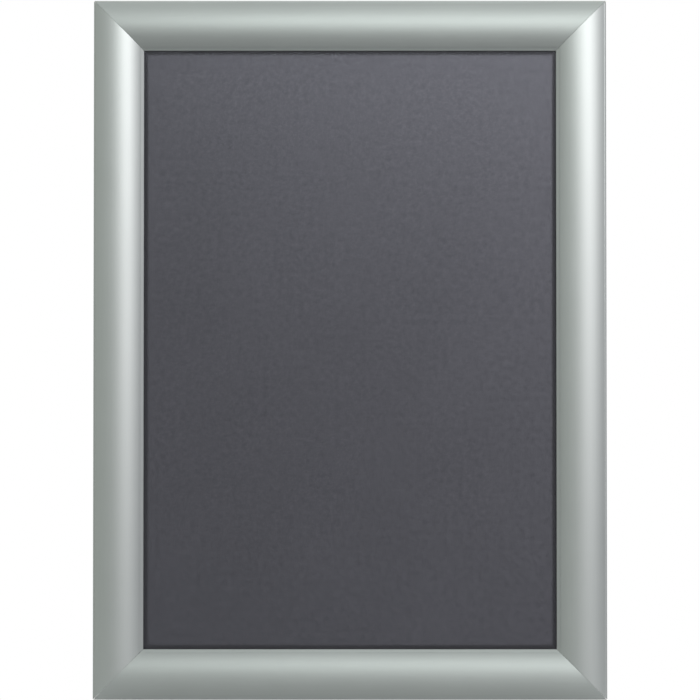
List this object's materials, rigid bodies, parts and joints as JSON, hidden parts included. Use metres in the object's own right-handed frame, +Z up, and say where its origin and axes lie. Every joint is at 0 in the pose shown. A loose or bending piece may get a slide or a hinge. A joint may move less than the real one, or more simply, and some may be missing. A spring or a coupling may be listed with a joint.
{
  "type": "snap frame",
  "caption": "Wall-hung portrait snap frame: mitred aluminium base rails with sprung covers that fold open to change the poster behind a clear sheet.",
  "frame": {"origin": "middle of the top base rail's wall face, on the line of its fixing holes, in the plane of the wall", "axes": "+Z up the wall along the frame's height, -Y out of the wall towards the viewer, +X to the right as seen from the front"},
  "size_m": [0.24, 0.013, 0.327],
  "materials": {
    "anodised_aluminium": "satin silver anodised extrusion",
    "key_steel": "zinc plated pressed steel",
    "spring_steel": "tempered strip",
    "backing_board": "matte dark grey polystyrene board",
    "clear_sheet": "anti-glare clear film"
  },
  "bodies": {
    "base": {"base_rail_bottom": "anodised_aluminium", "base_rail_right": "anodised_aluminium", "base_rail_top": "anodised_aluminium", "base_rail_left": "anodised_aluminium", "corner_key_bottom_left": "key_steel", "corner_key_bottom_right": "key_steel", "corner_key_top_right": "key_steel", "corner_key_top_left": "key_steel", "back_panel": "backing_board", "cover_sheet": "clear_sheet"},
    "cover_bottom": {"snap_cover_bottom": "anodised_aluminium"},
    "cover_right": {"snap_cover_right": "anodised_aluminium"},
    "cover_top": {"snap_cover_top": "anodised_aluminium"},
    "cover_left": {"snap_cover_left": "anodised_aluminium"},
    "springs_bottom": {"leaf_spring_bottom_left": "spring_steel", "leaf_spring_bottom_right": "spring_steel"},
    "springs_right": {"leaf_spring_right_low": "spring_steel", "leaf_spring_right_high": "spring_steel"},
    "springs_top": {"leaf_spring_top_right": "spring_steel", "leaf_spring_top_left": "spring_steel"},
    "springs_left": {"leaf_spring_left_high": "spring_steel", "leaf_spring_left_low": "spring_steel"}
  },
  "joints": [
    {"name": "cover_bottom_hinge", "type": "hinge", "parent": "base", "child": "cover_bottom", "pos_m": [0, -0.0064, -0.3156], "axis": [1, 0, 0], "range_deg": [0, 95], "deforming": ["leaf_spring_bottom_left", "leaf_spring_bottom_right"]},
    {"name": "cover_right_hinge", "type": "hinge", "parent": "base", "child": "cover_right", "pos_m": [0.1187, -0.0064, -0.1534], "axis": [0, 0, 1], "range_deg": [0, 95], "deforming": ["leaf_spring_right_low", "leaf_spring_right_high"]},
    {"name": "cover_top_hinge", "type": "hinge", "parent": "base", "child": "cover_top", "pos_m": [0, -0.0064, 0.0088], "axis": [-1, 0, 0], "range_deg": [0, 95], "deforming": ["leaf_spring_top_right", "leaf_spring_top_left"]},
    {"name": "cover_left_hinge", "type": "hinge", "parent": "base", "child": "cover_left", "pos_m": [-0.1187, -0.0064, -0.1534], "axis": [0, 0, -1], "range_deg": [0, 95], "deforming": ["leaf_spring_left_high", "leaf_spring_left_low"]},
    {"name": "springs_bottom_rock", "type": "hinge", "parent": "base", "child": "springs_bottom", "pos_m": [0, -0.0046, -0.30415], "axis": [1, 0, 0], "range_deg": [-28.2, 0]},
    {"name": "springs_right_rock", "type": "hinge", "parent": "base", "child": "springs_right", "pos_m": [0.10725, -0.0046, -0.1534], "axis": [0, 0, 1], "range_deg": [-28.2, 0]},
    {"name": "springs_top_rock", "type": "hinge", "parent": "base", "child": "springs_top", "pos_m": [0, -0.0046, -0.00265], "axis": [-1, 0, 0], "range_deg": [-28.2, 0]},
    {"name": "springs_left_rock", "type": "hinge", "parent": "base", "child": "springs_left", "pos_m": [-0.10725, -0.0046, -0.1534], "axis": [0, 0, -1], "range_deg": [-28.2, 0]}
  ],
  "couplings": [
    {"joint": "springs_bottom_rock", "follows": "cover_bottom_hinge", "ratio": -0.29575},
    {"joint": "springs_right_rock", "follows": "cover_right_hinge", "ratio": -0.29575},
    {"joint": "springs_top_rock", "follows": "cover_top_hinge", "ratio": -0.29575},
    {"joint": "springs_left_rock", "follows": "cover_left_hinge", "ratio": -0.29575}
  ]
}
